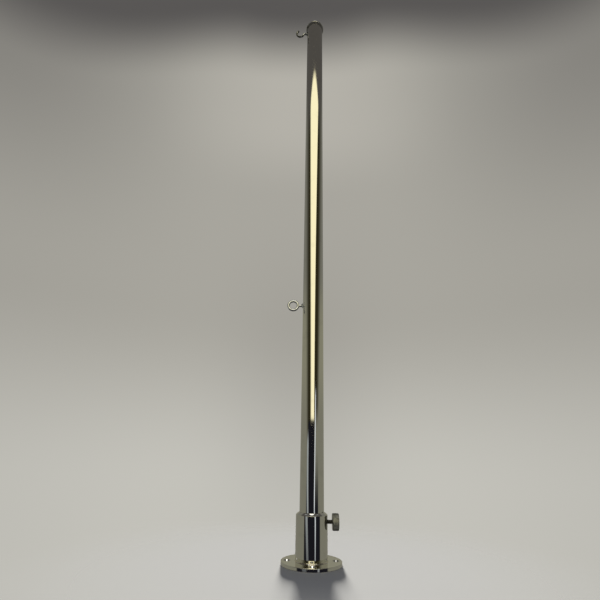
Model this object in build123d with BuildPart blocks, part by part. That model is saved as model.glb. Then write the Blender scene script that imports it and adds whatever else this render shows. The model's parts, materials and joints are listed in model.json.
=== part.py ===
"""Small deck flagstaff.

A polished tube, closed by a thin cap and fitted with a closed eye and an open hook,
stands in a flanged socket and is clamped there by a thumb screw.

Millimetres, +Z up, +X towards the thumb screw.  The origin is the centre of the
flange's underside, which is the face that lies on the deck.
"""

import os
from math import atan2, cos, degrees, pi, radians, sin, sqrt

from build123d import *

# Pole
pole_diameter = 25.0
pole_wall = 1.5
pole_length = 769.5
pole_foot_chamfer = 0.5

# Cap that closes the pole's top
cap_overhang = 2.1  # how far the rim stands out past the pole
cap_thickness = 3.2
cap_top_round = 1.8
cap_lower_round = 0.6
cap_spigot_length = 8.0
cap_spigot_clearance = 0.1

# Socket
socket_clearance = 0.1  # radial gap between the pole and the bore
socket_wall = 3.4
socket_height = 42.0  # tube above the flange
socket_mouth_chamfer = 0.4
socket_rim_land = 0.2  # flat ring between the mouth's chamfer and the sloped shoulder
socket_shoulder_height = 2.1
socket_edge_round = 0.3  # round on the shoulder's two edges

# Weld bead between the socket and the flange
weld_leg = 0.7
weld_dip = 0.1  # how far the bead's face is hollowed

# Flange
flange_width = 14.0  # ring of plate outside the socket
flange_thickness = 3.0
flange_top_round = 0.35
flange_lower_chamfer = 0.3
bolt_count = 4
bolt_edge_distance = 6.0  # from a hole's centre to the flange's rim
bolt_hole_diameter = 4.3
countersink_diameter = 7.6
countersink_angle = 90.0

# Thumb screw
screw_diameter = 4.0
screw_pitch = 0.7
screw_drop = 8.5  # screw axis below the socket's rim
screw_hole_clearance = 0.05
screw_tip_gap = 0.1  # between the screw's tip and the pole
screw_tip_chamfer = 0.6
knob_diameter = 15.8
knob_length = 6.5
knob_standoff = 4.8  # between the socket and the knob
knob_edge_round = 0.9

# Eye and hook, both bent from the same wire and welded to the pole
wire_diameter = 3.2
eye_hole_diameter = 8.4
eye_shank_length = 4.3  # between the pole and the ring
eye_height = 265.9  # above the pole's foot
hook_hole_diameter = 8.0
hook_shank_length = 4.4  # straight wire between the pole and the bend
hook_bend_radius = 2.4
hook_tip_angle = 108.0  # where the loop ends, seen from its centre
hook_tip_round = 1.2
hook_drop = 10.0  # hook below the pole's top
hook_lean = 10.0  # turn of the loop about its shank, in degrees
foot_flare = 2.2  # how far a welded foot spreads past the wire
foot_length = 2.4
foot_dip = 0.45
foot_gap = 0.05  # between a welded foot and the pole's side

# Sizes that follow
pole_radius = pole_diameter / 2
pole_foot = flange_thickness
pole_top = pole_foot + pole_length
pole_bore_radius = pole_radius - pole_wall
cap_radius = pole_radius + cap_overhang
socket_bore_radius = pole_radius + socket_clearance
socket_radius = socket_bore_radius + socket_wall
socket_top = flange_thickness + socket_height
socket_mouth_radius = socket_bore_radius + socket_mouth_chamfer
socket_rim_radius = socket_mouth_radius + socket_rim_land
flange_radius = socket_radius + flange_width
bolt_circle_radius = flange_radius - bolt_edge_distance
screw_height = socket_top - screw_drop
knob_inner_face = socket_radius + knob_standoff
wire_radius = wire_diameter / 2
eye_ring_radius = eye_hole_diameter / 2 + wire_radius
eye_centre_x = -(pole_radius + eye_shank_length + wire_radius + eye_ring_radius)
eye_centre_z = pole_foot + eye_height
hook_loop_radius = hook_hole_diameter / 2 + wire_radius
hook_bend_x = sqrt(hook_loop_radius**2 + 2 * hook_loop_radius * hook_bend_radius)
hook_bend_angle = degrees(atan2(hook_bend_radius, hook_bend_x))
hook_centre_x = -(pole_radius + hook_shank_length + hook_bend_x)
hook_centre_z = pole_top - hook_drop

os.makedirs("parts", exist_ok=True)


def foot_section(height):
    """Half section of a welded foot: a hollow-sided flare from the wire to the pole's side."""
    foot_radius = wire_radius + foot_flare
    root_x = -sqrt(pole_radius**2 - foot_radius**2)
    with BuildSketch(Plane.XZ) as section:
        with BuildLine():
            Polyline(
                (-pole_radius, height + foot_radius),
                (root_x, height + foot_radius),
                (root_x, height),
                (-pole_radius - foot_length, height),
                (-pole_radius - foot_length, height + wire_radius),
            )
            SagittaArc(
                (-pole_radius - foot_length, height + wire_radius),
                (-pole_radius, height + foot_radius),
                -foot_dip,
            )
        make_face()
    return section.sketch


def foot_axis(height):
    """Line through the middle of a wire's shank, along X."""
    return Axis((0, 0, height), (1, 0, 0))


# The plate that is screwed to the deck, with countersunk holes between the weld and the rim.
with BuildPart() as base_flange:
    with BuildSketch():
        Circle(flange_radius)
    extrude(amount=flange_thickness)
    fillet(base_flange.edges().group_by(Axis.Z)[-1], flange_top_round)
    chamfer(base_flange.edges().group_by(Axis.Z)[0], flange_lower_chamfer)
    with Locations(Plane.XY.offset(flange_thickness)):
        with PolarLocations(bolt_circle_radius, bolt_count):
            CounterSinkHole(
                radius=bolt_hole_diameter / 2,
                counter_sink_radius=countersink_diameter / 2,
                counter_sink_angle=countersink_angle,
            )

# The tube that takes the pole, with a sloped shoulder round its rim and the tapped hole in its +X side.
with BuildPart() as socket_tube:
    with BuildSketch(Plane.XZ) as socket_section:
        with BuildLine():
            Polyline(
                (socket_bore_radius, flange_thickness),
                (socket_radius, flange_thickness),
                (socket_radius, socket_top - socket_shoulder_height),
                (socket_rim_radius, socket_top),
                (socket_mouth_radius, socket_top),
                (socket_bore_radius, socket_top - socket_mouth_chamfer),
                close=True,
            )
        make_face()
    revolve(axis=Axis.Z)
    edge_circles = socket_tube.edges().filter_by(GeomType.CIRCLE)
    shoulder_edges = edge_circles.filter_by(lambda edge: abs(edge.radius - socket_rim_radius) < 0.001)
    lower_edges = edge_circles.filter_by(lambda edge: abs(edge.radius - socket_radius) < 0.001)
    fillet(shoulder_edges + lower_edges.sort_by(Axis.Z)[-1:], socket_edge_round)
    with BuildSketch(Plane(origin=(0, 0, screw_height), z_dir=(1, 0, 0))):
        Circle(screw_diameter / 2 + screw_hole_clearance)
    extrude(amount=socket_radius, mode=Mode.SUBTRACT)

# The bead that joins the tube's foot to the plate.
with BuildPart() as weld_bead:
    with BuildSketch(Plane.XZ):
        with BuildLine():
            Polyline(
                (socket_radius, flange_thickness + weld_leg),
                (socket_radius, flange_thickness),
                (socket_radius + weld_leg, flange_thickness),
            )
            SagittaArc(
                (socket_radius + weld_leg, flange_thickness),
                (socket_radius, flange_thickness + weld_leg),
                weld_dip,
            )
        make_face()
    revolve(axis=Axis.Z)

# The pole: one straight round tube that stands on the plate inside the socket.
with BuildPart() as pole_tube:
    with BuildSketch(Plane.XY.offset(pole_foot)):
        Circle(pole_radius)
        Circle(pole_bore_radius, mode=Mode.SUBTRACT)
    extrude(amount=pole_length)
    foot_edges = pole_tube.edges().filter_by(GeomType.CIRCLE).group_by(Axis.Z)[0]
    chamfer(foot_edges.sort_by(SortBy.RADIUS)[-1], pole_foot_chamfer)

# The cap: a thin round plate with a spigot that plugs the tube.
with BuildPart() as top_cap:
    with BuildSketch(Plane.XY.offset(pole_top)):
        Circle(cap_radius)
    extrude(amount=cap_thickness)
    fillet(top_cap.edges().group_by(Axis.Z)[-1], cap_top_round)
    fillet(top_cap.edges().group_by(Axis.Z)[0], cap_lower_round)
    with BuildSketch(Plane.XY.offset(pole_top)):
        Circle(pole_bore_radius - cap_spigot_clearance)
    extrude(amount=-cap_spigot_length)

# The closed eye on the -X side, its ring upright.
with BuildPart() as lower_eye:
    with Locations((eye_centre_x, 0, eye_centre_z)):
        Torus(eye_ring_radius, wire_radius, rotation=(90, 0, 0))
    with BuildSketch(Plane(origin=(eye_centre_x + eye_ring_radius, 0, eye_centre_z), z_dir=(1, 0, 0))):
        Circle(wire_radius)
    extrude(amount=wire_radius + eye_shank_length)
    revolve(foot_section(eye_centre_z), axis=foot_axis(eye_centre_z))
    with BuildSketch(Plane.XY.offset(eye_centre_z - wire_diameter - foot_flare)):
        Circle(pole_radius + foot_gap)
    extrude(amount=2 * (wire_diameter + foot_flare), mode=Mode.SUBTRACT)

# The open hook near the top: the wire bends down from its shank and runs round to a raised tip.
hook_plane = Plane(
    origin=(hook_centre_x, 0, hook_centre_z),
    x_dir=(1, 0, 0),
    z_dir=(0, -cos(radians(hook_lean)), -sin(radians(hook_lean))),
)
with BuildPart() as top_hook:
    with BuildLine(hook_plane) as hook_line:
        Line((hook_bend_x + hook_shank_length, 0), (hook_bend_x, 0))
        CenterArc((hook_bend_x, -hook_bend_radius), hook_bend_radius, 90, 90 - hook_bend_angle)
        CenterArc((0, 0), hook_loop_radius, -hook_bend_angle, hook_tip_angle + hook_bend_angle - 360)
    hook_path = hook_line.wire()
    with BuildSketch(Plane(origin=hook_path @ 0, z_dir=hook_path % 0)):
        Circle(wire_radius)
    sweep(path=hook_path)
    end_circles = top_hook.edges().filter_by(lambda edge: edge.is_closed)
    fillet(end_circles.sort_by_distance(hook_path @ 1)[0], hook_tip_round)
    revolve(foot_section(hook_centre_z), axis=foot_axis(hook_centre_z))
    with BuildSketch(Plane.XY.offset(hook_centre_z - wire_diameter - foot_flare)):
        Circle(pole_radius + foot_gap)
    extrude(amount=2 * (wire_diameter + foot_flare), mode=Mode.SUBTRACT)

# The screw's threaded stud, from its tip beside the pole out to the knob.
with BuildPart() as screw_stud:
    with BuildSketch(Plane(origin=(pole_radius + screw_tip_gap, 0, screw_height), z_dir=(1, 0, 0))):
        Circle(screw_diameter / 2)
    extrude(amount=knob_inner_face - pole_radius - screw_tip_gap)
    chamfer(screw_stud.edges().group_by(Axis.X)[0], screw_tip_chamfer)

# The round knob that fingers turn.
with BuildPart() as screw_knob:
    with BuildSketch(Plane(origin=(knob_inner_face, 0, screw_height), z_dir=(1, 0, 0))):
        Circle(knob_diameter / 2)
    extrude(amount=knob_length)
    fillet(screw_knob.edges().filter_by(GeomType.CIRCLE), knob_edge_round)

print("screw travel for each radian turned, in metres:", screw_pitch / 1000 / (2 * pi))
print("hook loop centre:", hook_centre_x, hook_centre_z, " eye centre:", eye_centre_x, eye_centre_z)

base_flange.part.label = "base_flange"
export_step(base_flange.part, "parts/base_flange.step")
socket_tube.part.label = "socket_tube"
export_step(socket_tube.part, "parts/socket_tube.step")
weld_bead.part.label = "weld_bead"
export_step(weld_bead.part, "parts/weld_bead.step")
pole_tube.part.label = "pole_tube"
export_step(pole_tube.part, "parts/pole_tube.step")
top_cap.part.label = "top_cap"
export_step(top_cap.part, "parts/top_cap.step")
lower_eye.part.label = "lower_eye"
export_step(lower_eye.part, "parts/lower_eye.step")
top_hook.part.label = "top_hook"
export_step(top_hook.part, "parts/top_hook.step")
screw_stud.part.label = "screw_stud"
export_step(screw_stud.part, "parts/screw_stud.step")
screw_knob.part.label = "screw_knob"
export_step(screw_knob.part, "parts/screw_knob.step")
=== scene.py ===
"""Small deck flagstaff: a polished tube standing in a flanged socket, with its finishes and its studio.

Lengths are in metres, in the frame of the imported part: +Z up and +X towards the thumb screw.
"""

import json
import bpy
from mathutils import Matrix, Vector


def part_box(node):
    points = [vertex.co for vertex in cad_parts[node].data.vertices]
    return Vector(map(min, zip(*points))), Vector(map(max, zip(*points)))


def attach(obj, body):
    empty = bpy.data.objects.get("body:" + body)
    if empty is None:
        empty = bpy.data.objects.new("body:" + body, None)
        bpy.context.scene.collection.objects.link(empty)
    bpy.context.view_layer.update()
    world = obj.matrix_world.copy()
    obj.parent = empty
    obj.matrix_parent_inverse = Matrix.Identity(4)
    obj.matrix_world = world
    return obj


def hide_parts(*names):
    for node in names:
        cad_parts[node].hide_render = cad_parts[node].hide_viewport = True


bl_info = {
    "name": "Deck flagstaff",
    "version": (1, 0, 0),
    "blender": (4, 5, 0),
    "location": "3D View > Sidebar > Flagstaff",
    "description": "The pieces of a small deck flagstaff, with their finishes and a studio",
    "category": "Object",
}

from math import atan2, cos, degrees, pi, radians, sin, sqrt, tan

import bmesh
import bpy
from bpy.props import FloatProperty, FloatVectorProperty, IntProperty, PointerProperty
from bpy.types import Operator, Panel, PropertyGroup
from mathutils import Euler, Matrix, Vector

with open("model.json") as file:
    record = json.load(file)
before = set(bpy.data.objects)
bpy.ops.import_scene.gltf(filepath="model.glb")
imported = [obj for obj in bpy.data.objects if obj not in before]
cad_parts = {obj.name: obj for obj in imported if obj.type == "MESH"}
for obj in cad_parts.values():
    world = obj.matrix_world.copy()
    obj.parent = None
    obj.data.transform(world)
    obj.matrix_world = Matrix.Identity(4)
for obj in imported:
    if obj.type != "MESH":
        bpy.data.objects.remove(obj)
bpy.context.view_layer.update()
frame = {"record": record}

pole_low, pole_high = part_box("pole_tube")
cap_low, cap_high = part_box("top_cap")
socket_low, socket_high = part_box("socket_tube")
bead_low, bead_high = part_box("weld_bead")
flange_low, flange_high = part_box("base_flange")
eye_low, eye_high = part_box("lower_eye")
hook_low, hook_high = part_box("top_hook")
stud_low, stud_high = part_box("screw_stud")
knob_low, knob_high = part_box("screw_knob")
screw_height = (stud_low.z + stud_high.z) / 2


# ---------- settings


def length(name, description, default):
    """A length setting in metres."""
    return FloatProperty(
        name=name, description=description, default=default, min=0.0, precision=5, subtype="DISTANCE", unit="LENGTH"
    )


def angle(name, description, default):
    """An angle setting, given here in degrees."""
    return FloatProperty(
        name=name, description=description, default=radians(default), subtype="ANGLE", unit="ROTATION"
    )


def tint(name, description, default):
    """A linear colour setting."""
    return FloatVectorProperty(
        name=name, description=description, default=default, size=3, min=0.0, soft_max=1.0, subtype="COLOR"
    )


def share(name, description, default):
    """A setting from nought to one."""
    return FloatProperty(name=name, description=description, default=default, min=0.0, max=1.0, subtype="FACTOR")


class FlagstaffTurnedSizes(PropertyGroup):
    """Sizes of the pieces turned about the pole's axis."""

    sides: IntProperty(name="Sides", description="Flats round a turned piece", default=192, min=24)
    round_steps: IntProperty(name="Round steps", description="Steps in each rounded edge", default=10, min=2)
    pole_wall: length("Pole wall", "Thickness of the pole's wall", 0.0015)
    pole_foot_chamfer: length("Foot chamfer", "Chamfer round the pole's foot", 0.0005)
    cap_top_round: length("Cap top round", "Round on the cap's upper edge", 0.0018)
    cap_lower_round: length("Cap lower round", "Round on the cap's lower edge", 0.0006)
    cap_spigot_clearance: length("Spigot clearance", "Gap between the cap's spigot and the tube", 0.0001)
    socket_wall: length("Socket wall", "Thickness of the socket's wall", 0.0034)
    socket_mouth_chamfer: length("Mouth chamfer", "Chamfer inside the socket's mouth", 0.0004)
    socket_rim_land: length("Rim land", "Width of the flat ring at the socket's top", 0.0002)
    socket_shoulder_height: length("Shoulder height", "Height of the slope round the socket's rim", 0.0021)
    socket_shoulder_bulge: length("Shoulder bulge", "How far polishing has crowned the slope", 0.0001)
    socket_edge_round: length("Shoulder edge round", "Round on the shoulder's two edges", 0.0003)
    screw_hole_radius: length("Screw hole radius", "Radius of the hole for the screw", 0.00205)
    weld_dip: length("Weld dip", "How far the weld's face is hollowed", 0.0001)


class FlagstaffFlangeSizes(PropertyGroup):
    """Sizes of the plate that is screwed to the deck."""

    bolt_count: IntProperty(name="Bolt holes", description="Countersunk holes in the plate", default=4, min=1)
    bolt_circle_radius: length("Bolt circle radius", "Distance of the holes from the middle", 0.024)
    hole_radius: length("Hole radius", "Radius of each hole", 0.00215)
    sink_radius: length("Countersink radius", "Radius of each countersink at the top", 0.0038)
    top_round: length("Top round", "Round on the plate's upper edge", 0.00035)
    lower_chamfer: length("Lower chamfer", "Chamfer on the plate's lower edge", 0.0003)


class FlagstaffWireSizes(PropertyGroup):
    """Sizes of the eye and the hook, which are bent from the same wire."""

    radius: length("Wire radius", "Radius of the wire", 0.0016)
    sides: IntProperty(name="Wire sides", description="Flats round the wire", default=32, min=8)
    step: length("Step", "Spacing of the rings of vertices along the wire", 0.0002)
    foot_flare: length("Foot flare", "How far a welded foot spreads past the wire", 0.0022)
    foot_length: length("Foot length", "Length of a welded foot along the wire", 0.0024)
    foot_sink: length("Foot sink", "How deep a foot goes into the pole's wall", 0.0003)
    tip_round: length("Tip round", "Round on the wire's cut end", 0.0012)
    hook_drop: length("Hook drop", "Height of the pole's top above the hook's shank", 0.01)
    hook_bend_radius: length("Hook bend", "Radius of the bend between shank and loop", 0.0024)
    hook_loop_radius: length("Hook loop", "Radius of the loop's centre line", 0.0056)
    hook_tip_angle: angle("Hook tip angle", "Where the loop ends, seen from its centre", 108.0)
    hook_lean: angle("Hook lean", "Turn of the loop about its shank", 10.0)


class FlagstaffScrewSizes(PropertyGroup):
    """Sizes of the thumb screw."""

    pitch: length("Pitch", "Pitch of the thread", 0.0007)
    thread_depth: length("Thread depth", "Depth of the thread", 0.00038)
    tip_chamfer: length("Tip chamfer", "Chamfer on the screw's tip", 0.0006)
    stud_sides: IntProperty(name="Stud sides", description="Flats round the stud", default=48, min=12)
    rows_per_turn: IntProperty(name="Rows per turn", description="Rows of faces along one pitch", default=12, min=6)
    knob_round: length("Knob round", "Round on the knob's edges", 0.0009)
    knurl_count: IntProperty(name="Knurl count", description="Diamonds round the knob", default=24, min=12)
    knurl_rows: IntProperty(name="Knurl rows", description="Diamonds along the knob", default=3, min=1)
    knurl_depth: length("Knurl depth", "Depth of the knurl's grooves", 0.0005)


class FlagstaffFinish(PropertyGroup):
    """Colours and roughness of the metals."""

    polished_tint: tint("Polished steel", "Colour of the mirror-polished steel", (0.70, 0.69, 0.645))
    polished_roughness: share("Polished roughness", "Roughness of the mirror polish", 0.035)
    wire_tint: tint("Wire steel", "Colour of the drawn wire", (0.68, 0.71, 0.77))
    wire_roughness: share("Wire roughness", "Roughness of the drawn wire", 0.05)
    weld_tint: tint("Weld steel", "Colour of the polished weld", (0.68, 0.66, 0.60))
    weld_roughness: share("Weld roughness", "Roughness of the polished weld", 0.08)
    screw_tint: tint("Screw steel", "Colour of the threaded stud", (0.17, 0.165, 0.155))
    screw_roughness: share("Screw roughness", "Roughness of the threaded stud", 0.28)
    knob_tint: tint("Knob steel", "Colour of the knurled knob", (0.68, 0.69, 0.66))
    knob_roughness: share("Knob roughness", "Roughness of the knurled knob", 0.36)


class FlagstaffStudio(PropertyGroup):
    """Colours of the studio, its lamps and the camera."""

    floor_tint: tint("Floor", "Colour of the floor", (0.565, 0.56, 0.535))
    backdrop_low: tint("Backdrop, low", "Colour of the backdrop at the horizon", (0.548, 0.538, 0.492))
    backdrop_middle: tint("Backdrop, middle", "Colour of the backdrop half-way up", (0.390, 0.377, 0.338))
    backdrop_glow: tint("Backdrop, glow", "Colour of the glow high on the backdrop", (0.470, 0.452, 0.405))
    backdrop_high: tint("Backdrop, high", "Colour of the backdrop overhead", (0.100, 0.095, 0.092))
    tent_side: tint("Tent side", "Colour of the tent beside the pole", (0.215, 0.212, 0.180))
    tent_back: tint("Tent back", "Colour of the tent behind the pole", (0.225, 0.220, 0.198))
    tent_low: tint("Low tent", "Colour of the brighter band low on the tent", (0.305, 0.298, 0.222))
    panel: tint("Light panel", "Colour of the light panel above the camera", (1.37, 1.265, 0.85))
    curtain: tint("Curtain", "Colour of the dark cloth beside the panel", (0.030, 0.026, 0.012))
    skylight: tint("Skylight", "Colour of the pale opening overhead", (2.3, 2.28, 2.22))
    seam: tint("Roof seams", "Colour of the two pale seams in the ceiling behind", (0.45, 0.47, 0.50))
    ground: tint("Ground", "Colour of the dark ground that steel mirrors", (0.070, 0.068, 0.066))
    ceiling: tint("Ceiling", "Colour of the tent's dark ceiling", (0.096, 0.090, 0.083))
    front: tint("Dark front", "Colour of the dark opening below the panel", (0.012, 0.012, 0.017))
    rail_left: tint("Left rail", "Colour of the pale strip left of the opening", (0.41, 0.44, 0.46))
    rail_right: tint("Right rail", "Colour of the pale strip right of the opening", (0.96, 1.02, 1.10))
    fill: tint("Fill light", "Colour of the even light from all sides", (0.135, 0.143, 0.170))
    lamp_tint: tint("Lamps", "Colour of the soft lamps", (1.0, 0.985, 0.955))
    back_strength: FloatProperty(
        name="Back lamp", description="Strength of the soft light from behind the pole", default=70.0, min=0.0
    )
    front_strength: FloatProperty(
        name="Front lamp", description="Strength of the weak soft light from above the camera", default=0.2, min=0.0
    )
    camera_place: FloatVectorProperty(
        name="Camera place", description="Where the camera stands", default=(-0.0157, -0.4463, 0.0987),
        size=3, subtype="XYZ", unit="LENGTH",
    )
    camera_pitch: angle("Camera pitch", "How far the camera looks up", 21.66)
    camera_roll: angle("Camera roll", "Turn of the camera about its line of sight", 1.107)
    camera_lens: FloatProperty(
        name="Lens", description="Focal length for a 36 mm sensor", default=23.32, unit="CAMERA", subtype="NONE"
    )
    camera_shift: FloatVectorProperty(
        name="Shift", description="Sideways and upward shift of the lens, as a share of the picture's width",
        default=(-0.0006, 0.0008), size=2, precision=5,
    )


class FlagstaffSettings(PropertyGroup):
    """All the flagstaff's settings."""

    turned: PointerProperty(type=FlagstaffTurnedSizes)
    flange: PointerProperty(type=FlagstaffFlangeSizes)
    wire: PointerProperty(type=FlagstaffWireSizes)
    screw: PointerProperty(type=FlagstaffScrewSizes)
    finish: PointerProperty(type=FlagstaffFinish)
    studio: PointerProperty(type=FlagstaffStudio)


# ---------- node trees


class Wire:
    """One output of a node. Sums and products of wires and numbers add Math nodes."""

    def __init__(self, sheet, socket):
        self.sheet = sheet
        self.socket = socket

    def out(self, name):
        """Another output of the same node."""
        return Wire(self.sheet, self.socket.node.outputs[name])

    def maths(self, operation, *others):
        """This wire put through a Math node."""
        return self.sheet.add("ShaderNodeMath", {"operation": operation}, self, *others)

    def rise(self, low, high):
        """Nought below low, one above high and smooth between. It falls instead where low is the larger."""
        return self.sheet.add("ShaderNodeMapRange", {"interpolation_type": "SMOOTHSTEP"}, self, low, high, 0.0, 1.0)

    def __add__(self, other):
        return self.maths("ADD", other)

    __radd__ = __add__

    def __mul__(self, other):
        return self.maths("MULTIPLY", other)

    __rmul__ = __mul__

    def __sub__(self, other):
        return self.maths("SUBTRACT", other)

    def __rsub__(self, other):
        return self.sheet.add("ShaderNodeMath", {"operation": "SUBTRACT"}, other, self)

    def __truediv__(self, other):
        return self.maths("DIVIDE", other)

    def __rtruediv__(self, other):
        return self.sheet.add("ShaderNodeMath", {"operation": "DIVIDE"}, other, self)

    def __neg__(self):
        return self.maths("MULTIPLY", -1.0)


class Sheet:
    """Adds nodes to one tree."""

    def __init__(self, tree):
        self.tree = tree
        tree.nodes.clear()

    def add(self, kind, settings=None, *values, **named):
        """Adds a node, its settings first, then values or wires for its sockets, in order or by name."""
        node = self.tree.nodes.new(kind)
        for setting, value in (settings or {}).items():
            setattr(node, setting, value)
        sockets = [socket for socket in node.inputs if socket.enabled]
        by_name = {socket.name.lower().replace(" ", "_"): socket for socket in reversed(sockets)}
        chosen = list(zip(sockets, values)) + [(by_name[name], value) for name, value in named.items()]
        for socket, value in chosen:
            if isinstance(value, Wire):
                self.tree.links.new(value.socket, socket)
            elif value is not None:
                if socket.type == "RGBA" and len(value) == 3:
                    value = (*value, 1.0)
                socket.default_value = value
        outputs = [socket for socket in node.outputs if socket.enabled]
        return Wire(self, outputs[0]) if outputs else None

    def blend(self, factor, first, second):
        """A colour between two others."""
        return self.add("ShaderNodeMix", {"data_type": "RGBA"}, factor, first, second)

    def split(self, vector):
        """The three numbers of a vector."""
        parts = self.add("ShaderNodeSeparateXYZ", None, vector)
        return parts, parts.out("Y"), parts.out("Z")

    def join(self, x, y, z):
        """A vector from three numbers."""
        return self.add("ShaderNodeCombineXYZ", None, x, y, z)

    def noise(self, place, scale, detail=2.0, roughness=0.5):
        """Soft noise, mostly between 0.3 and 0.7."""
        return self.add("ShaderNodeTexNoise", None, vector=place, scale=scale, detail=detail, roughness=roughness)


def geometry_tree(name, values):
    """A Geometry Nodes tree with an input after its geometry for each value. Returns its sheet and their wires."""
    tree = bpy.data.node_groups.new(name, "GeometryNodeTree")
    sheet = Sheet(tree)
    tree.interface.new_socket("Geometry", in_out="OUTPUT", socket_type="NodeSocketGeometry")
    tree.interface.new_socket("Geometry", in_out="INPUT", socket_type="NodeSocketGeometry")
    kinds = {float: "Float", int: "Int", Vector: "Vector"}
    for label, value in values.items():
        kind = kinds.get(type(value), "Material")
        tree.interface.new_socket(label, in_out="INPUT", socket_type="NodeSocket" + kind)
    start = sheet.add("NodeGroupInput")
    return sheet, {label: start.out(label) for label in ("Geometry", *values)}


def close_tree(sheet, geometry, material):
    """Ends a geometry tree: instances made real, then the material."""
    geometry = sheet.add("GeometryNodeRealizeInstances", None, geometry)
    geometry = sheet.add("GeometryNodeSetMaterial", None, geometry, material=material)
    sheet.add("NodeGroupOutput", None, geometry)


def in_scene(name, data):
    """A new object in the scene."""
    shown = bpy.data.objects.new(name, data)
    bpy.context.scene.collection.objects.link(shown)
    return shown


def grown(name, tree, values, source=None):
    """The plain mesh that a tree makes from its inputs' values and a source mesh, which may be empty."""
    source = source or bpy.data.meshes.new(name + "_start")
    holder = in_scene(name, source)
    modifier = holder.modifiers.new("Shape", "NODES")
    modifier.node_group = tree
    for item in tree.interface.items_tree:
        if item.in_out == "INPUT" and item.name in values:
            modifier[item.identifier] = values[item.name]
    mesh = plain_mesh(holder)
    bpy.data.objects.remove(holder)
    return mesh


def plain_mesh(shown):
    """A new mesh with an object's modifiers applied."""
    graph = bpy.context.evaluated_depsgraph_get()
    return bpy.data.meshes.new_from_object(shown.evaluated_get(graph), preserve_all_data_layers=True, depsgraph=graph)


# ---------- shapes


def run(start, end, steps):
    """Points on a straight line, both ends included."""
    return [tuple(a + (b - a) * step / steps for a, b in zip(start, end)) for step in range(steps + 1)]


def arc(centre, radius, start, end, steps):
    """Points on an arc, with its angles in degrees."""
    angles = [radians(start + (end - start) * step / steps) for step in range(steps + 1)]
    return [(centre[0] + radius * cos(a), centre[1] + radius * sin(a)) for a in angles]


def eased(before, corner, after, radius, steps):
    """Points on the arc that rounds off the corner between two straight lines."""
    corner = Vector(corner)
    back, on = (Vector(before) - corner).normalized(), (Vector(after) - corner).normalized()
    half = back.angle(on) / 2
    centre = corner + (back + on).normalized() * radius / sin(half)
    line = run(corner + back * radius / tan(half), corner + on * radius / tan(half), steps)
    return [tuple(centre + (Vector(point) - centre).normalized() * radius) for point in line]


def hollow(start, end, dip, steps):
    """Points on a shallow arc between two points, bulging by the dip to the right of the way from start to end."""
    chord = Vector(end) - Vector(start)
    aside = Vector((chord.y, -chord.x)).normalized()
    line = run(start, end, steps)
    return [
        tuple(Vector(point) + aside * dip * 4 * step / steps * (1 - step / steps)) for step, point in enumerate(line)
    ]


def turned(name, outline, sides, ring=False):
    """Turns an outline of (radius, height) about Z. A ring's outline closes on itself; others end on the axis."""
    shape = bmesh.new()
    rows = []
    for radius, height in outline:
        corners = sides if radius > 0 else 1
        turns = [2 * pi * corner / corners for corner in range(corners)]
        rows.append([shape.verts.new((radius * cos(t), radius * sin(t), height)) for t in turns])
    for lower, upper in zip(rows, rows[1:] + rows[:1] if ring else rows[1:]):
        for side in range(sides):
            here, there = side, side + 1
            corners = [lower[here % len(lower)], lower[there % len(lower)]]
            corners += [upper[there % len(upper)], upper[here % len(upper)]]
            shape.faces.new(list(dict.fromkeys(corners)))
    bmesh.ops.recalc_face_normals(shape, faces=shape.faces)
    mesh = bpy.data.meshes.new(name)
    shape.to_mesh(mesh)
    shape.free()
    return mesh


def joined(name, meshes):
    """Several meshes as one."""
    shape = bmesh.new()
    for mesh in meshes:
        shape.from_mesh(mesh)
    whole = bpy.data.meshes.new(name)
    shape.to_mesh(whole)
    shape.free()
    return whole


def cut(mesh, cutter):
    """A mesh with the space of a closed cutter taken out."""
    body, tool = in_scene("body", mesh), in_scene("tool", cutter)
    modifier = body.modifiers.new("Cut", "BOOLEAN")
    modifier.operation = "DIFFERENCE"
    modifier.solver = "EXACT"
    modifier.object = tool
    result = plain_mesh(body)
    for shown in (body, tool):
        bpy.data.objects.remove(shown)
    return result


def drill_bit(outline, sides=64):
    """A turned cutter, set half a side round so that no corner of it falls on an edge of what it cuts."""
    bit = turned("drill", outline, sides)
    bit.transform(Matrix.Rotation(pi / sides, 4, "Z"))
    return bit


def place_piece(name, mesh, material, node, sharp=35.0):
    """Makes a finished piece from a mesh. It rides on the body of the CAD node that it stands for."""
    mesh.shade_smooth()
    mesh.set_sharp_from_angle(angle=radians(sharp))
    piece = in_scene(name, mesh)
    weighted = piece.modifiers.new("Even shading", "WEIGHTED_NORMAL")
    weighted.keep_sharp = True
    piece.data = plain_mesh(piece)
    piece.modifiers.remove(weighted)
    piece.data.name = name
    piece.data.materials.clear()
    piece.data.materials.append(material)
    bodies = frame["record"]["behaviour"]["bodies"]
    body = next(body for body, nodes in bodies.items() if node in nodes)
    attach(piece, body)
    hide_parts(node)
    return piece


# ---------- finishes


def new_material(name):
    """An empty material, its sheet and the place in the piece's own frame."""
    material = bpy.data.materials.new(name)
    material.use_nodes = True
    sheet = Sheet(material.node_tree)
    return material, sheet, sheet.add("ShaderNodeTexCoord").out("Object")


def dimmed(colour, *shares):
    """A colour with its channels brought down to these shares, or all to one share."""
    return tuple(channel * part for channel, part in zip(colour, shares * 3 if len(shares) == 1 else shares))


def metal(sheet, colour, roughness, height):
    """Ends a material with a metal surface. Its relief is a height in hundredths of a millimetre."""
    relief_unit = 0.00001
    normal = sheet.add("ShaderNodeBump", None, strength=1.0, distance=relief_unit, height=height)
    surface = sheet.add(
        "ShaderNodeBsdfPrincipled", None, base_color=colour, metallic=1.0, roughness=roughness, normal=normal
    )
    sheet.add("ShaderNodeOutputMaterial", None, surface)


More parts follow.
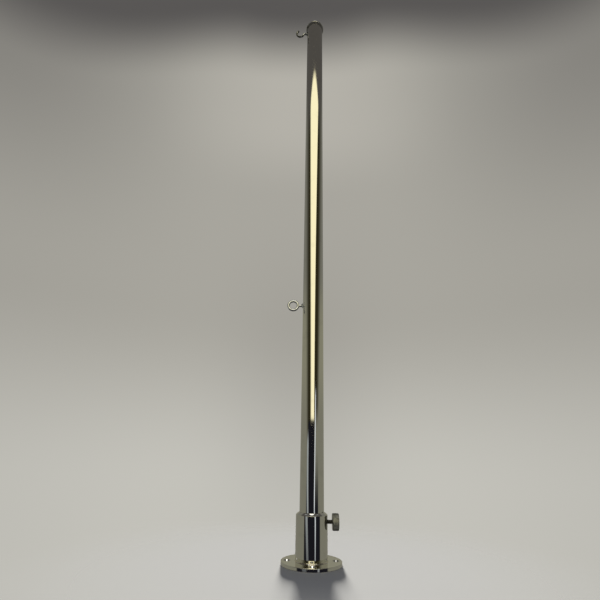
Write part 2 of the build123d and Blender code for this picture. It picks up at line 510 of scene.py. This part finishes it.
def scratches(sheet, place, turn, count):
    """Hairlines that lie about one direction: nearly nought everywhere and one along a few fine lines."""
    stretch = (count, count * 0.04, count * 0.6)
    turned_place = sheet.add("ShaderNodeMapping", None, vector=place, rotation=turn, scale=stretch)
    return sheet.noise(turned_place, 1.0, 1.0).rise(0.70, 0.76)


def polished_steel(finish):
    """Mirror-polished steel: faint buffing lines round the work, hairline scratches and a few handling smudges."""
    material, sheet, place = new_material("mirror_polished_steel")
    x, y, z = sheet.split(place)
    out_from_axis = (x * x + y * y).maths("SQRT")
    buffing = sheet.noise(sheet.join(out_from_axis * 3800.0, 0.0, z * 3800.0), 1.0, 3.0, 0.6)
    wander = sheet.noise(sheet.join(x * 25.0, y * 25.0, z * 32.0), 1.0, 1.0)
    hairlines = scratches(sheet, place, (0.5, 0.2, 0.3), 900.0) + scratches(sheet, place, (1.1, 0.7, 0.1), 1100.0)
    smudges = sheet.noise(place, 70.0, 4.0, 0.6).rise(0.52, 0.72)
    colour = sheet.blend(smudges, tuple(finish.polished_tint), dimmed(finish.polished_tint, 0.93))
    roughness = finish.polished_roughness + smudges * 0.02 + hairlines * 0.02 + buffing * 0.01
    metal(sheet, colour, roughness, buffing * 0.01 + hairlines * -0.004 + wander * 3.0)
    return material


def wire_steel(finish):
    """Bright drawn wire: fine pits and draw marks, duller where the feet were welded on, and painted shade near the
    pole's top that makes the hook dark, broken by a few gaps.
    """
    material, sheet, place = new_material("bright_drawn_wire")
    x, y, z = sheet.split(place)
    foot_side = (x + pole_high.x).rise(-0.0035, -0.0005)
    # Painted shade: towards the pole's top, where the hook is, the wire's colour is pulled nearly to black so the
    # hook looks dark; it is also a little rougher there.
    painted_shade_near_top = z.rise(pole_high.z * 0.7, pole_high.z * 0.95)
    grain = sheet.noise(place, 5200.0, 3.0, 0.65)
    waves = sheet.noise(place, 900.0, 2.0)
    patches = sheet.noise(place, 420.0, 3.0).rise(0.45, 0.70)
    straw = dimmed(finish.wire_tint, 0.94, 0.91, 0.84)
    colour = sheet.blend((patches * 0.35 + foot_side * 0.5).maths("MINIMUM", 1.0), tuple(finish.wire_tint), straw)
    # Gaps in the painted shade, where the steel's own colour shows through as a few bright points.
    gaps_in_painted_shade = sheet.noise(place, 330.0, 1.0).rise(0.56, 0.62)
    # The near-black colour here is the painted shade over the hook.
    colour = sheet.blend(painted_shade_near_top * (0.9 - gaps_in_painted_shade * 0.8), colour, (0.05, 0.05, 0.045))
    roughness = finish.wire_roughness + patches * 0.03 + foot_side * 0.05 + grain * 0.02 + painted_shade_near_top * 0.05
    metal(sheet, colour, roughness, grain * 0.15 + waves * 1.0)
    return material


def weld_steel(finish):
    """Polished weld: the ghost of its ripples, small pits and a warmer tint than the plate."""
    material, sheet, place = new_material("polished_weld")
    x, y, z = sheet.split(place)
    around = y.maths("ARCTAN2", x)
    ripples = (around * 46.0 + sheet.noise(place, 260.0) * 5.0).maths("SINE")
    pits = sheet.noise(place, 2600.0, 2.0).rise(0.64, 0.72)
    patches = sheet.noise(place, 300.0, 3.0).rise(0.42, 0.68)
    warm = dimmed(finish.weld_tint, 0.94, 0.86, 0.70)
    colour = sheet.blend(patches, tuple(finish.weld_tint), warm)
    roughness = finish.weld_roughness + patches * 0.05 + pits * 0.12
    metal(sheet, colour, roughness, ripples * 1.6 + pits * -0.6)
    return material


def depth_below(sheet, place, radius, depth):
    """A point's distance from the screw's axis, and its depth: nought on the outside and one deep in the grooves."""
    x, y, z = sheet.split(place)
    up = z - screw_height
    reach = (y * y + up * up).maths("SQRT")
    return reach, reach.rise(radius, radius - depth)


def screw_steel(finish, screw):
    """Plain screw steel: crests at the plain tint, darker and rougher deep in the thread, with random stains."""
    material, sheet, place = new_material("plain_screw_steel")
    depth = depth_below(sheet, place, stud_high.y, screw.thread_depth)[1]
    grain = sheet.noise(place, 6000.0, 3.0)
    stain = sheet.noise(place, 700.0, 3.0).rise(0.4, 0.7)
    dark = dimmed(finish.screw_tint, 0.35)
    colour = sheet.blend((depth * 0.8 + stain * 0.2).maths("MINIMUM", 1.0), tuple(finish.screw_tint), dark)
    roughness = finish.screw_roughness + depth * 0.22 + grain * 0.08
    metal(sheet, colour, roughness, grain * 0.8)
    return material


def knob_steel(finish, screw):
    """Satin knurled steel: crests at the plain tint, darker grooves, random stains and turned rings on the flat ends.
    """
    material, sheet, place = new_material("satin_knurled_steel")
    reach, depth = depth_below(sheet, place, knob_high.y, screw.knurl_depth)
    flat_end = reach.rise(knob_high.y - screw.knob_round * 0.8, knob_high.y - screw.knob_round * 1.2)
    groove = depth * (1.0 - flat_end)
    rings = sheet.noise(sheet.join(reach * 5200.0, 0.0, 0.0), 1.0, 2.0)
    grain = sheet.noise(place, 4200.0, 3.0, 0.6)
    stain = sheet.noise(place, 380.0, 3.0).rise(0.4, 0.7)
    dark = dimmed(finish.knob_tint, 0.30)
    colour = sheet.blend((groove * 0.75 + stain * 0.55).maths("MINIMUM", 1.0), tuple(finish.knob_tint), dark)
    roughness = finish.knob_roughness + groove * 0.15 + grain * 0.08
    metal(sheet, colour, roughness, grain * 0.8 + rings * flat_end * 1.6)
    return material


# ---------- trees for what repeats or follows a path


def bent_wire_tree(values):
    """Round wire along path lines. An open line starts in a flared foot on the pole and ends in a rounded tip."""
    sheet, given = geometry_tree("Bent wire", values)
    path = sheet.add("GeometryNodeMeshToCurve", None, given["Geometry"])
    path = sheet.add("GeometryNodeResampleCurve", {"mode": "LENGTH"}, path, length=given["Step"])
    along = sheet.add("GeometryNodeSplineParameter").out("Length")
    left = sheet.add("GeometryNodeSplineLength") - along
    open_line = 1.0 - sheet.add("GeometryNodeInputSplineCyclic")

    foot = (1.0 - (along - given["Foot Sink"]) / given["Foot Length"]).maths("MAXIMUM", 0.0).maths("MINIMUM", 1.0)
    tip = (given["Tip Round"] - left).maths("MAXIMUM", 0.0)
    tip_loss = given["Tip Round"] - (given["Tip Round"] * given["Tip Round"] - tip * tip).maths("SQRT")
    radius = given["Wire Radius"] + (foot * foot * given["Foot Flare"] - tip_loss) * open_line

    circle = sheet.add("GeometryNodeCurvePrimitiveCircle", None, given["Sides"], radius=1.0)
    rod = sheet.add("GeometryNodeCurveToMesh", None, path, circle, radius, True)

    x, y, z = sheet.split(sheet.add("GeometryNodeInputPosition"))
    near = ((x + given["Pole Radius"] + given["Foot Length"]) / given["Foot Length"]).maths("MAXIMUM", 0.0)
    near = near.maths("MINIMUM", 1.0)
    fall = given["Pole Radius"] - (given["Pole Radius"] * given["Pole Radius"] - y * y).maths("SQRT")
    rod = sheet.add("GeometryNodeSetPosition", None, rod, offset=sheet.join(near * near * fall, 0.0, 0.0))
    close_tree(sheet, rod, given["Material"])
    return sheet.tree


def cylinder(sheet, *sizes):
    """A closed cylinder along Z, from its sides, rows, rings in each end, radius and length."""
    return sheet.add("GeometryNodeMeshCylinder", {"fill_type": "TRIANGLE_FAN"}, *sizes)


def close_skin(sheet, given, rod, around, radius, reach, level):
    """Ends a tree: a cylinder's points take a new radius and level, and it is laid along X at its centre.

    The reach is a point's distance from the axis as a share of the cylinder's radius, so the ends stay closed.
    """
    place = sheet.join(around.maths("COSINE") * radius * reach, around.maths("SINE") * radius * reach, level)
    rod = sheet.add("GeometryNodeSetPosition", None, rod, position=place)
    rod = sheet.add("GeometryNodeTransform", None, rod, given["Centre"], Euler((0.0, pi / 2, 0.0)))
    close_tree(sheet, rod, given["Material"])
    return sheet.tree


def thread_tree(values):
    """A threaded stud along X: a cylinder whose skin is cut by one helical groove, with a chamfered tip."""
    sheet, given = geometry_tree("Threaded stud", values)
    end_rings, flank_start, flank_depth = 1, 0.88, 0.72
    rod = cylinder(sheet, given["Sides"], given["Rows"], end_rings, given["Radius"], given["Length"])
    x, y, z = sheet.split(sheet.add("GeometryNodeInputPosition"))
    around = y.maths("ARCTAN2", x)
    turn = (z / given["Pitch"] - around / (2 * pi)).maths("FRACT")
    below_crest = ((turn - 0.5).maths("ABSOLUTE") * -2.0 + flank_start).maths("MAXIMUM", 0.0)
    below_crest = below_crest.maths("MINIMUM", flank_depth) / flank_depth
    from_tip = z + given["Length"] / 2
    chamfered = given["Radius"] - given["Tip Chamfer"] + from_tip
    radius = (given["Radius"] - below_crest * given["Thread Depth"]).maths("MINIMUM", chamfered)
    reach = (x * x + y * y).maths("SQRT") / given["Radius"]
    return close_skin(sheet, given, rod, around, radius, reach, z)


def knurl_tree(values):
    """A knurled knob along X: a rounded cylinder whose rim is cut by two sets of helical grooves into diamonds."""
    sheet, given = geometry_tree("Knurled knob", values)
    faces_per_diamond, end_rings, flat_top = 4.0, 6, 0.25
    rim = given["Length"] - given["Edge Round"] * 2.0
    row = rim / (given["Knurl Rows"] * faces_per_diamond)
    rounded = given["Round Rows"] * row
    sides = given["Knurl Count"] * faces_per_diamond
    rows = given["Knurl Rows"] * faces_per_diamond + given["Round Rows"] * 2.0
    knob = cylinder(sheet, sides, rows, end_rings, given["Radius"], rim + rounded * 2.0)
    x, y, z = sheet.split(sheet.add("GeometryNodeInputPosition"))
    around = y.maths("ARCTAN2", x)
    height = z.maths("ABSOLUTE")
    over = ((height - rim / 2) / rounded).maths("MAXIMUM", 0.0).maths("MINIMUM", 1.0)
    bend = over * (pi / 2)
    across = around * given["Knurl Count"] / (2 * pi)
    along = z / (row * faces_per_diamond)
    grooves = [((line.maths("FRACT") - 0.5).maths("ABSOLUTE") * 2.0) for line in (across + along, across - along)]
    groove = ((grooves[0].maths("MAXIMUM", grooves[1]) - flat_top) / (1.0 - flat_top)).maths("MAXIMUM", 0.0)
    radius = given["Radius"] - given["Edge Round"] * (1.0 - bend.maths("COSINE"))
    radius = radius - groove * (1.0 - over) * given["Knurl Depth"]
    level = z.maths("SIGN") * (height.maths("MINIMUM", rim / 2) + given["Edge Round"] * bend.maths("SINE"))
    reach = (x * x + y * y).maths("SQRT") / given["Radius"]
    return close_skin(sheet, given, knob, around, radius, reach, level)


def path_mesh(name, *lines):
    """A mesh of edges from (points, closed) lines."""
    points, edges = [], []
    for line, closed in lines:
        first = len(points)
        points += line
        edges += [(first + step, first + step + 1) for step in range(len(line) - 1)]
        if closed:
            edges.append((len(points) - 1, first))
    mesh = bpy.data.meshes.new(name)
    mesh.from_pydata([tuple(point) for point in points], edges, [])
    return mesh


# ---------- operators


def material_named(name, maker, *settings):
    """A finish that is made once and shared by all its pieces."""
    return bpy.data.materials.get(name) or maker(*settings)


class FLAGSTAFF_OT_pole(Operator):
    """Make the pole and its cap"""

    bl_idname = "flagstaff.pole"
    bl_label = "Pole and cap"

    def execute(self, context):
        settings = context.scene.flagstaff
        sizes = settings.turned
        steel = material_named("mirror_polished_steel", polished_steel, settings.finish)
        radius = min(pole_high.x, pole_high.y)
        bore = radius - sizes.pole_wall
        foot, top = pole_low.z, pole_high.z
        wall_steps = 60
        outline = run((radius - sizes.pole_foot_chamfer, foot), (radius, foot + sizes.pole_foot_chamfer), 1)
        outline += run((radius, foot + sizes.pole_foot_chamfer), (radius, top), wall_steps)[1:]
        outline += run((bore, top), (bore, foot), wall_steps)
        tube = turned("pole", outline, sizes.sides, ring=True)
        place_piece("pole", tube, steel, "pole_tube")

        rim = min(cap_high.x, cap_high.y)
        spigot = bore - sizes.cap_spigot_clearance
        high, low = sizes.cap_top_round, sizes.cap_lower_round
        outline = [(0.0, cap_low.z), (spigot, cap_low.z), (spigot, top)]
        outline += arc((rim - low, top + low), low, -90, 0, sizes.round_steps)
        outline += arc((rim - high, cap_high.z - high), high, 0, 90, sizes.round_steps)
        outline += [(rim * 0.4, cap_high.z), (0.0, cap_high.z)]
        place_piece("cap", turned("cap", outline, sizes.sides), steel, "top_cap")
        return {"FINISHED"}


class FLAGSTAFF_OT_socket(Operator):
    """Make the socket with its hole for the screw"""

    bl_idname = "flagstaff.socket"
    bl_label = "Socket"

    def execute(self, context):
        settings = context.scene.flagstaff
        sizes = settings.turned
        steel = material_named("mirror_polished_steel", polished_steel, settings.finish)
        radius = min(socket_high.x, socket_high.y)
        bore = radius - sizes.socket_wall
        foot, top = socket_low.z, socket_high.z
        mouth, rounded, steps = sizes.socket_mouth_chamfer, sizes.socket_edge_round, sizes.round_steps
        mouth_edge = (bore + mouth, top)
        rim_edge = (bore + mouth + sizes.socket_rim_land, top)
        wall_edge = (radius, top - sizes.socket_shoulder_height)
        lower_edge = eased((radius, foot), wall_edge, rim_edge, rounded, steps)
        upper_edge = eased(wall_edge, rim_edge, mouth_edge, rounded, steps)
        wall_steps = 16
        outline = run((radius, foot), lower_edge[0], wall_steps) + lower_edge[1:]
        outline += hollow(lower_edge[-1], upper_edge[0], sizes.socket_shoulder_bulge, steps)[1:] + upper_edge[1:]
        outline += [mouth_edge, (bore, top - mouth)]
        outline += run((bore, top - mouth), (bore, foot), wall_steps)[1:]
        tube = turned("socket", outline, sizes.sides, ring=True)
        hole, start, end = sizes.screw_hole_radius, bore / 2, radius * 1.5
        drill = drill_bit([(0.0, start), (hole, start), (hole, end), (0.0, end)])
        drill.transform(Matrix.Translation((0.0, 0.0, screw_height)) @ Matrix.Rotation(pi / 2, 4, "Y"))
        place_piece("socket", cut(tube, drill), steel, "socket_tube")
        return {"FINISHED"}


class FLAGSTAFF_OT_flange(Operator):
    """Make the plate with its countersunk holes"""

    bl_idname = "flagstaff.flange"
    bl_label = "Flange"

    def execute(self, context):
        settings = context.scene.flagstaff
        sizes, turned_sizes = settings.flange, settings.turned
        steel = material_named("mirror_polished_steel", polished_steel, settings.finish)
        radius = min(flange_high.x, flange_high.y)
        top, rounded, chamfer = flange_high.z, sizes.top_round, sizes.lower_chamfer
        outline = [(0.0, 0.0), (radius - chamfer, 0.0), (radius, chamfer)]
        outline += arc((radius - rounded, top - rounded), rounded, 0, 90, turned_sizes.round_steps)
        outline += [(0.0, top)]
        plate = turned("flange", outline, turned_sizes.sides)
        depth = sizes.sink_radius - sizes.hole_radius
        spare = 0.001
        drill = [(0.0, -spare), (sizes.hole_radius, -spare), (sizes.hole_radius, top - depth)]
        drill += [(sizes.sink_radius + spare, top + spare), (0.0, top + spare)]
        drills = []
        for hole in range(sizes.bolt_count):
            turn = Matrix.Rotation(2 * pi * hole / sizes.bolt_count, 4, "Z")
            bit = drill_bit(drill)
            bit.transform(turn @ Matrix.Translation((sizes.bolt_circle_radius, 0.0, 0.0)))
            drills.append(bit)
        place_piece("flange", cut(plate, joined("drills", drills)), steel, "base_flange")
        return {"FINISHED"}


class FLAGSTAFF_OT_weld(Operator):
    """Make the polished weld between the socket and the flange"""

    bl_idname = "flagstaff.weld"
    bl_label = "Weld"

    def execute(self, context):
        settings = context.scene.flagstaff
        sizes = settings.turned
        steel = material_named("polished_weld", weld_steel, settings.finish)
        inner = min(socket_high.x, socket_high.y)
        outer = min(bead_high.x, bead_high.y)
        outline = [(inner, bead_low.z)]
        outline += hollow((outer, bead_low.z), (inner, bead_high.z), -sizes.weld_dip, sizes.round_steps)
        place_piece("weld", turned("weld", outline, sizes.sides, ring=True), steel, "weld_bead")
        return {"FINISHED"}


class FLAGSTAFF_OT_fittings(Operator):
    """Bend the eye and the hook from wire"""

    bl_idname = "flagstaff.fittings"
    bl_label = "Eye and hook"

    def execute(self, context):
        settings = context.scene.flagstaff
        sizes = settings.wire
        steel = material_named("bright_drawn_wire", wire_steel, settings.finish)
        pole_radius = min(pole_high.x, pole_high.y)
        values = {
            "Wire Radius": sizes.radius,
            "Sides": sizes.sides,
            "Step": sizes.step,
            "Foot Flare": sizes.foot_flare,
            "Foot Length": sizes.foot_length,
            "Foot Sink": sizes.foot_sink,
            "Pole Radius": pole_radius,
            "Tip Round": sizes.tip_round,
            "Material": steel,
        }
        tree = bent_wire_tree(values)
        start_x = -pole_radius + sizes.foot_sink
        straight_steps, ring_steps, bend_steps, loop_steps = 40, 180, 24, 160

        ring_outside = (eye_high.z - eye_low.z) / 2
        ring_radius = ring_outside - sizes.radius
        ring_x = eye_low.x + ring_outside
        height = (eye_high.z + eye_low.z) / 2
        ring = [(x, 0.0, z) for x, z in arc((ring_x, height), ring_radius, 0, 360, ring_steps)[:-1]]
        shank = run((start_x, 0.0, height), (ring_x + ring_radius, 0.0, height), straight_steps)
        eye = grown("eye", tree, values, path_mesh("eye_path", (shank, False), (ring, True)))
        place_piece("eye", eye, steel, "lower_eye")

        bend, loop = sizes.hook_bend_radius, sizes.hook_loop_radius
        loop_x = hook_low.x + loop + sizes.radius
        bend_x = sqrt(loop * loop + 2 * loop * bend)
        meeting = degrees(atan2(bend, bend_x))
        tip_angle = degrees(sizes.hook_tip_angle) - 360
        flat = run((start_x - loop_x, 0.0), (bend_x, 0.0), straight_steps)
        flat += arc((bend_x, -bend), bend, 90, 180 - meeting, bend_steps)[1:]
        flat += arc((0.0, 0.0), loop, -meeting, tip_angle, loop_steps)[1:]
        height = pole_high.z - sizes.hook_drop
        lean = sizes.hook_lean
        line = [(loop_x + a, -b * sin(lean), height + b * cos(lean)) for a, b in flat]
        hook = grown("hook", tree, values, path_mesh("hook_path", (line, False)))
        place_piece("hook", hook, steel, "top_hook")
        return {"FINISHED"}


class FLAGSTAFF_OT_screw(Operator):
    """Make the thumb screw's threaded stud and its knurled knob"""

    bl_idname = "flagstaff.screw"
    bl_label = "Thumb screw"

    def execute(self, context):
        settings = context.scene.flagstaff
        sizes = settings.screw
        stud_length = stud_high.x - stud_low.x
        steel = material_named("plain_screw_steel", screw_steel, settings.finish, sizes)
        rows = round(stud_length / sizes.pitch * sizes.rows_per_turn)
        values = {
            "Radius": stud_high.y,
            "Length": stud_length,
            "Pitch": sizes.pitch,
            "Thread Depth": sizes.thread_depth,
            "Tip Chamfer": sizes.tip_chamfer,
            "Sides": sizes.stud_sides,
            "Rows": rows,
            "Centre": (stud_low + stud_high) / 2,
            "Material": steel,
        }
        place_piece("stud", grown("stud", thread_tree(values), values), steel, "screw_stud", sharp=60.0)

        steel = material_named("satin_knurled_steel", knob_steel, settings.finish, sizes)
        values = {
            "Radius": knob_high.y,
            "Length": knob_high.x - knob_low.x,
            "Edge Round": sizes.knob_round,
            "Round Rows": 6,
            "Knurl Count": sizes.knurl_count,
            "Knurl Rows": sizes.knurl_rows,
            "Knurl Depth": sizes.knurl_depth,
            "Centre": (knob_low + knob_high) / 2,
            "Material": steel,
        }
        place_piece("knob", grown("knob", knurl_tree(values), values), steel, "screw_knob", sharp=30.0)
        return {"FINISHED"}


def studio_floor(studio):
    """A wide pale disc that keeps the flagstaff's shadow and fades into the backdrop far out."""
    inner, outer, rings, sides = 0.2, 6.0, 24, 96
    fade_start, fade_end = 0.05, 0.32
    disc = turned("floor", [(0.0, 0.0)] + run((inner, 0.0), (outer, 0.0), rings), sides)
    material, sheet, place = new_material("floor")
    x, y, z = sheet.split(place)
    far = (x * x + y * y).maths("SQRT").rise(fade_start, fade_end)
    surface = sheet.add(
        "ShaderNodeBsdfPrincipled", None, base_color=tuple(studio.floor_tint), roughness=0.8, specular_ior_level=0.0
    )
    surface = sheet.add("ShaderNodeMixShader", None, far, surface, sheet.add("ShaderNodeBsdfTransparent"))
    sheet.add("ShaderNodeOutputMaterial", None, surface)
    disc.materials.append(material)
    floor = in_scene("floor", disc)
    floor.visible_glossy = False


def studio_world(studio):
    """The studio all round: a backdrop for the camera with a painted shadow behind the pole, even light, and the tent
    that polished steel mirrors.

    Azimuth is measured from the camera's side, positive towards +X, and elevation from the horizon, in degrees.
    """
    shade_depth, glow_depth, painted_pole_shadow_depth = 0.55, 0.8, 0.14
    opening_to_left, below_to_right, rail_to_left, seam_aside = 11.5, 1.5, 45.5, 139.0
    skylight_lean, skylight_narrowing = 14.0, 820.0

    world = bpy.data.worlds.new("studio")
    world.use_nodes = True
    bpy.context.scene.world = world
    sheet = Sheet(world.node_tree)
    x, y, z = sheet.split(sheet.add("ShaderNodeTexCoord"))
    up = z.maths("ARCSINE") * degrees(1.0)
    azimuth = x.maths("ARCTAN2", -y) * degrees(1.0)
    aside = azimuth.maths("ABSOLUTE")

    backdrop = sheet.blend(up.rise(-4.0, 20.0), tuple(studio.backdrop_low), tuple(studio.backdrop_middle))
    shade = aside.rise(168.0, 128.0) * (up.rise(22.0, 46.0) * 0.78 + 0.22)
    backdrop = sheet.blend(shade * shade_depth, backdrop, tuple(studio.backdrop_high))
    glow = aside.rise(150.0, 178.0) * up.rise(36.0, 46.0)
    backdrop = sheet.blend(glow * glow_depth, backdrop, tuple(studio.backdrop_glow))
    # Painted shadow: a soft darker band on the backdrop straight behind the pole, from just below the horizon
    # part-way up, blended towards the overhead colour where the pole's shadow would fall.
    painted_pole_shadow = aside.rise(158.0, 180.0)
    painted_pole_shadow = painted_pole_shadow * painted_pole_shadow * up.rise(36.0, 6.0) * up.rise(-16.0, 2.0) * painted_pole_shadow_depth
    backdrop = sheet.blend(painted_pole_shadow, backdrop, tuple(studio.backdrop_high))
    backdrop = sheet.blend((up + shade * 7.5 - x * 2.4).rise(50.8, 58.3), backdrop, tuple(studio.backdrop_high))

    tent = sheet.blend(aside.rise(105.0, 185.0), tuple(studio.tent_side), tuple(studio.tent_back))
    low_band = up.rise(27.0, 17.0) * (up.rise(3.0, 13.0) * 0.6 + 0.3)
    tent = sheet.blend(low_band, tent, tuple(studio.tent_low))
    low_left = (-azimuth).maths("MAXIMUM", 0.0) * 0.09
    cloth = aside.rise(62.0 + up * 1.7, 36.0 + up * 0.5) * (up + low_left).rise(3.0, 7.0)
    tent = sheet.blend(cloth, tent, tuple(studio.curtain))
    roof = (up - (aside - 100.0).maths("MAXIMUM", 0.0) * 0.06).rise(43.5, 50.0)
    tent = sheet.blend(roof, tent, tuple(studio.ceiling))
    left = -15.5 - up * 0.4 - up * up * 0.0085
    right = 15.0 + up * 0.1 + up * up * up * 0.00031
    top = 52.0 - azimuth * azimuth * 0.0012
    panel = (azimuth - left).rise(-7.0, 9.0) * (right - azimuth).rise(-3.5, 3.5)
    panel = panel * up.rise(4.4, 4.9) * (top - up).rise(-0.7, 0.7)
    tent = sheet.blend(panel, tent, tuple(studio.panel))
    forward = (-y).maths("ARCTAN2", z) * degrees(1.0) - skylight_lean
    from_skylight = (forward * forward + x * x * skylight_narrowing).maths("SQRT")
    tent = sheet.blend(from_skylight.rise(8.0, 6.0), tent, tuple(studio.skylight))
    seam = (aside - seam_aside).maths("ABSOLUTE").rise(11.0, 5.0) * up.rise(58.0, 64.0) * up.rise(82.0, 76.0)
    tent = sheet.blend(seam, tent, tuple(studio.seam))

    opening = (azimuth + opening_to_left).maths("ABSOLUTE").rise(32.5, 29.5) * up.rise(4.6, 4.3)
    below = (azimuth - below_to_right).maths("ABSOLUTE").rise(62.0, 55.0) * up.rise(1.5, -7.0)
    tent = sheet.blend(opening.maths("MAXIMUM", below), tent, tuple(studio.front))
    tent = sheet.blend(up.rise(-17.0, -27.0), tent, tuple(studio.ground))
    seen = up.rise(-18.0, -4.0)
    rail = (azimuth + rail_to_left - up * up * 0.105).maths("ABSOLUTE").rise(9.5, 5.5) * up.rise(3.6, 1.2) * seen
    tent = sheet.blend(rail, tent, tuple(studio.rail_left))
    middle = (up * 0.7 + 25.5).maths("MAXIMUM", 22.0) + up.rise(-6.8, -8.0) * 2.0
    rail = (azimuth - middle).maths("ABSOLUTE").rise(4.8, 2.2)
    tent = sheet.blend(rail * up.rise(9.5, 7.5) * seen, tent, tuple(studio.rail_right))

    path = sheet.add("ShaderNodeLightPath")
    mirrored = path.out("Is Glossy Ray").maths("MAXIMUM", path.out("Is Transmission Ray"))
    colour = sheet.blend(mirrored, tuple(studio.fill), tent)
    colour = sheet.blend(path.out("Is Camera Ray"), colour, backdrop)
    sheet.add("ShaderNodeOutputWorld", None, sheet.add("ShaderNodeBackground", None, colour, 1.0))


def studio_lamp(studio, name, strength, heading, height, spread):
    """An even soft light. It comes from a heading round Z, 0 being +X, and a height above the horizon, in degrees.

    Steel mirrors the tent and not the lamps.
    """
    light = bpy.data.lights.new(name, "SUN")
    light.angle = radians(spread)
    light.energy = strength
    light.color = studio.lamp_tint
    lamp = in_scene(name, light)
    lamp.rotation_euler = (radians(90 - height), 0.0, radians(heading + 90))
    lamp.visible_glossy = False


def studio_camera(studio):
    """The camera, low in front of the socket and looking up the pole."""
    lens = bpy.data.cameras.new("camera")
    lens.lens = studio.camera_lens
    lens.shift_x, lens.shift_y = studio.camera_shift
    lens.clip_start, lens.clip_end = 0.01, 50.0
    camera = in_scene("camera", lens)
    look = Matrix.Rotation(pi / 2 + studio.camera_pitch, 4, "X") @ Matrix.Rotation(studio.camera_roll, 4, "Z")
    camera.matrix_world = Matrix.Translation(studio.camera_place) @ look
    bpy.context.scene.camera = camera


class FLAGSTAFF_OT_studio(Operator):
    """Set up the floor, the studio light and the camera"""

    bl_idname = "flagstaff.studio"
    bl_label = "Studio"

    def execute(self, context):
        studio = context.scene.flagstaff.studio
        context.scene.view_settings.view_transform = "Standard"
        studio_floor(studio)
        studio_world(studio)
        studio_lamp(studio, "back_lamp", studio.back_strength, heading=90, height=2.0, spread=8)
        studio_lamp(studio, "front_lamp", studio.front_strength, heading=-90, height=30, spread=60)
        studio_camera(studio)
        return {"FINISHED"}


# ---------- panel and registration


class FLAGSTAFF_PT_sidebar(Panel):
    """Lists the flagstaff's pieces and their settings"""

    bl_idname = "FLAGSTAFF_PT_sidebar"
    bl_label = "Deck flagstaff"
    bl_space_type = "VIEW_3D"
    bl_region_type = "UI"
    bl_category = "Flagstaff"

    def draw(self, context):
        settings = context.scene.flagstaff
        for operator in OPERATORS:
            self.layout.operator(operator.bl_idname)
        for group in settings.bl_rna.properties:
            if group.type == "POINTER" and group.identifier != "rna_type":
                box = self.layout.box()
                values = getattr(settings, group.identifier)
                for setting in values.bl_rna.properties:
                    if setting.identifier not in ("rna_type", "name"):
                        box.prop(values, setting.identifier)


GROUPS = (
    FlagstaffTurnedSizes,
    FlagstaffFlangeSizes,
    FlagstaffWireSizes,
    FlagstaffScrewSizes,
    FlagstaffFinish,
    FlagstaffStudio,
    FlagstaffSettings,
)
OPERATORS = (
    FLAGSTAFF_OT_studio,
    FLAGSTAFF_OT_flange,
    FLAGSTAFF_OT_weld,
    FLAGSTAFF_OT_socket,
    FLAGSTAFF_OT_pole,
    FLAGSTAFF_OT_fittings,
    FLAGSTAFF_OT_screw,
)
CLASSES = (*GROUPS, *OPERATORS, FLAGSTAFF_PT_sidebar)


def register():
    """Registers the settings, operators and panel."""
    for cls in CLASSES:
        bpy.utils.register_class(cls)
    bpy.types.Scene.flagstaff = PointerProperty(type=FlagstaffSettings)


def unregister():
    """Takes them away again."""
    del bpy.types.Scene.flagstaff
    for cls in reversed(CLASSES):
        bpy.utils.unregister_class(cls)


def main():
    """Builds everything."""
    register()
    bpy.ops.flagstaff.studio()
    bpy.ops.flagstaff.flange()
    bpy.ops.flagstaff.weld()
    bpy.ops.flagstaff.socket()
    bpy.ops.flagstaff.pole()
    bpy.ops.flagstaff.fittings()
    bpy.ops.flagstaff.screw()


if __name__ == "__main__":
    main()
